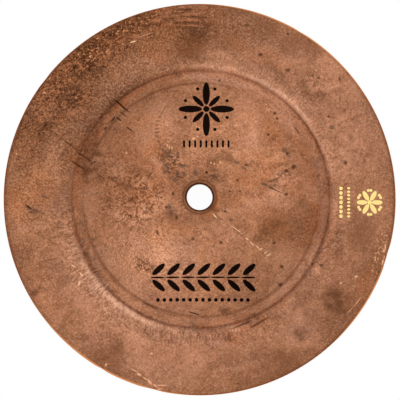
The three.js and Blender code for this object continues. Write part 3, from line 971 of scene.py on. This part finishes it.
# %% Roughness
roughness = add_node(
    skin, "ShaderNodeMapRange", {"Value": mottle_share, "To Min": 0.62, "To Max": 0.52})

# Each row: a mask, and the roughness where it is full.
ink_mask, foil_mask = print_masks
rough_rows = (
    (masks["crusted"], 0.72), (masks["smudges"], 0.66), (masks["bright_lines"], 0.42), (ink_mask, 0.5),
    (foil_mask, 0.4),
)
for mask, value in rough_rows:
    roughness = add_node(
        skin, "ShaderNodeMix", {"Factor": mask, "A": roughness, "B": value}, data_type="FLOAT")
skin.links.new(roughness, shader.inputs["Roughness"])
print(f"roughness from the mottle and {len(rough_rows)} masks")

# %% Relief
grain_size = 0.9
grain_height = 0.05 * MM
height = add_node(skin, "ShaderNodeTexNoise", {
    "Vector": solid, "Scale": 1 / grain_size, "Detail": 2.0, "Roughness": 0.7,
}, noise_dimensions="3D")

# Each family of marks, and how deep it is cut as a share of the grain's height.
for name, depth in (("pits", -0.8), ("dark_lines", -0.8), ("bright_lines", -0.5)):
    height = add_node(
        skin, "ShaderNodeMath", {0: masks[name], 1: depth, 2: height}, operation="MULTIPLY_ADD")
bump = add_node(skin, "ShaderNodeBump", {"Height": height, "Distance": grain_height, "Strength": 1.0})
skin.links.new(bump, shader.inputs["Normal"])
mesh.materials.append(bronze)
print(f"skin of {len(skin.nodes)} nodes and {len(bpy.data.node_groups)} groups")

# %% [markdown]
# ## Floor
#
# The bell lies on plain white uncoated paper, dull and even to the eye. A lit floor never renders as pure
# white unless the light is too strong for the bell, so most of what the camera sees of it is a glow of
# strength 1, and the rest is paper that still takes the bell's shadow. Light Path gives the same glow to
# the rays that reflect in the metal.

# %% White paper
floor_size = 8.0
glow_share = 0.97

floor_bm = bmesh.new()
bmesh.ops.create_grid(floor_bm, x_segments=1, y_segments=1, size=floor_size / 2)
floor_mesh = bpy.data.meshes.new("floor")
floor_bm.to_mesh(floor_mesh)
floor_bm.free()
floor = bpy.data.objects.new("floor", floor_mesh)
bpy.context.scene.collection.objects.link(floor)
floor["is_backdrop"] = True

paper = bpy.data.materials.new("white_paper")
paper.use_nodes = True
sheet = paper.node_tree
lit = sheet.nodes["Principled BSDF"]
lit.inputs["Base Color"].default_value = linear("#f4f4f4")
lit.inputs["Roughness"].default_value = 0.9
rays = add_node(sheet, "ShaderNodeLightPath").node.outputs
seen = rays["Is Camera Ray"]
for ray_kind in ("Is Glossy Ray", "Is Transmission Ray"):
    seen = add_node(sheet, "ShaderNodeMath", {0: seen, 1: rays[ray_kind]}, operation="MAXIMUM")
seen = add_node(sheet, "ShaderNodeMath", {0: seen, 1: glow_share}, operation="MULTIPLY")
glow = add_node(sheet, "ShaderNodeEmission", {"Strength": 1.0})
surface = add_node(sheet, "ShaderNodeMixShader", {0: seen, 1: lit.outputs[0], 2: glow})
sheet.links.new(surface, sheet.nodes["Material Output"].inputs["Surface"])
floor_mesh.materials.append(paper)
print(f"paper {floor_size:.0f} m wide, {glow_share:.0%} of it glow")

# %% [markdown]
# ## Light
#
# A metal shows what is round it, so its light is a room more than a lamp. A pale world gives the even part.
# Two large softboxes, high on opposite sides, give the two soft fans on the crown and the bright lines on
# the foot of the flank. Together they light the bell at a plain level, where a colour renders about as it
# is written.

# %% World and softboxes
world = bpy.data.worlds.new("studio")
world.use_nodes = True
world.node_tree.nodes["Background"].inputs["Color"].default_value = linear("#ffffff")
world.node_tree.nodes["Background"].inputs["Strength"].default_value = 0.70
bpy.context.scene.world = world


def softbox(name, azimuth, zenith, distance, size, power):
    """A square lamp that looks at the bell. Azimuth is counted from +X towards +Y."""
    lamp = bpy.data.lights.new(name, "AREA")
    lamp.shape = "SQUARE"
    lamp.size = size
    lamp.energy = power
    turn, lean = math.radians(azimuth), math.radians(zenith)
    ray = Vector((math.cos(turn) * math.sin(lean), math.sin(turn) * math.sin(lean), math.cos(lean)))
    box = bpy.data.objects.new(name, lamp)
    box.location = distance * ray
    box.rotation_euler = (-ray).to_track_quat("-Z", "Y").to_euler()
    bpy.context.scene.collection.objects.link(box)
    print(f"{name}: {power} W from {distance} m")


softbox("softbox_back", azimuth=60, zenith=36, distance=1.4, size=0.9, power=6)
softbox("softbox_front", azimuth=238, zenith=36, distance=1.4, size=0.9, power=6)

# %% [markdown]
# ## Camera
#
# The picture is taken from nearly straight above, through a long lens. The camera leans about three degrees
# towards the viewer, which is why the hole sits a little above the middle of the disc. The lens is worked
# out from the width that the picture has to show at the bell's distance, with the picture 400 pixels wide
# and the disc's radius in it measured in pixels.

# %% Camera
picture_width_px = 400
disc_radius_px = 196.07
camera_lean = math.radians(2.9)
camera_distance = 2.5
sensor_width_mm = 36
aim = Vector((0.16, -0.30, 1.5)) * MM
nearest_seen = 0.1
farthest_seen = 20

shown_width = disc_radius * picture_width_px / disc_radius_px
camera = bpy.data.objects.new("camera", bpy.data.cameras.new("camera"))
bpy.context.scene.collection.objects.link(camera)
bpy.context.scene.camera = camera
back = Vector((0, -math.sin(camera_lean), math.cos(camera_lean)))
camera.location = aim + camera_distance * back
camera.rotation_euler = (-back).to_track_quat("-Z", "Y").to_euler()
camera.data.sensor_fit = "HORIZONTAL"
camera.data.sensor_width = sensor_width_mm
camera.data.lens = sensor_width_mm * camera_distance / shown_width
camera.data.clip_start = nearest_seen
camera.data.clip_end = farthest_seen
print(f"lens of {camera.data.lens:.0f} mm for a picture {shown_width / MM:.1f} mm wide")

# %% [markdown]
# ## Finish
#
# The Standard view shows colours as they are written. The two boxes are kept beside each other, so that the
# shell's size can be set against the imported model's.

# %% Finish
bpy.context.scene.view_settings.view_transform = "Standard"
visual_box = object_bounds()
beyond = [round((seen_side - cad_side) / MM, 2) for seen_side, cad_side in zip(visual_box[1], cad_box[1])]
print("beyond the packed model's highest corner, in mm:", beyond)
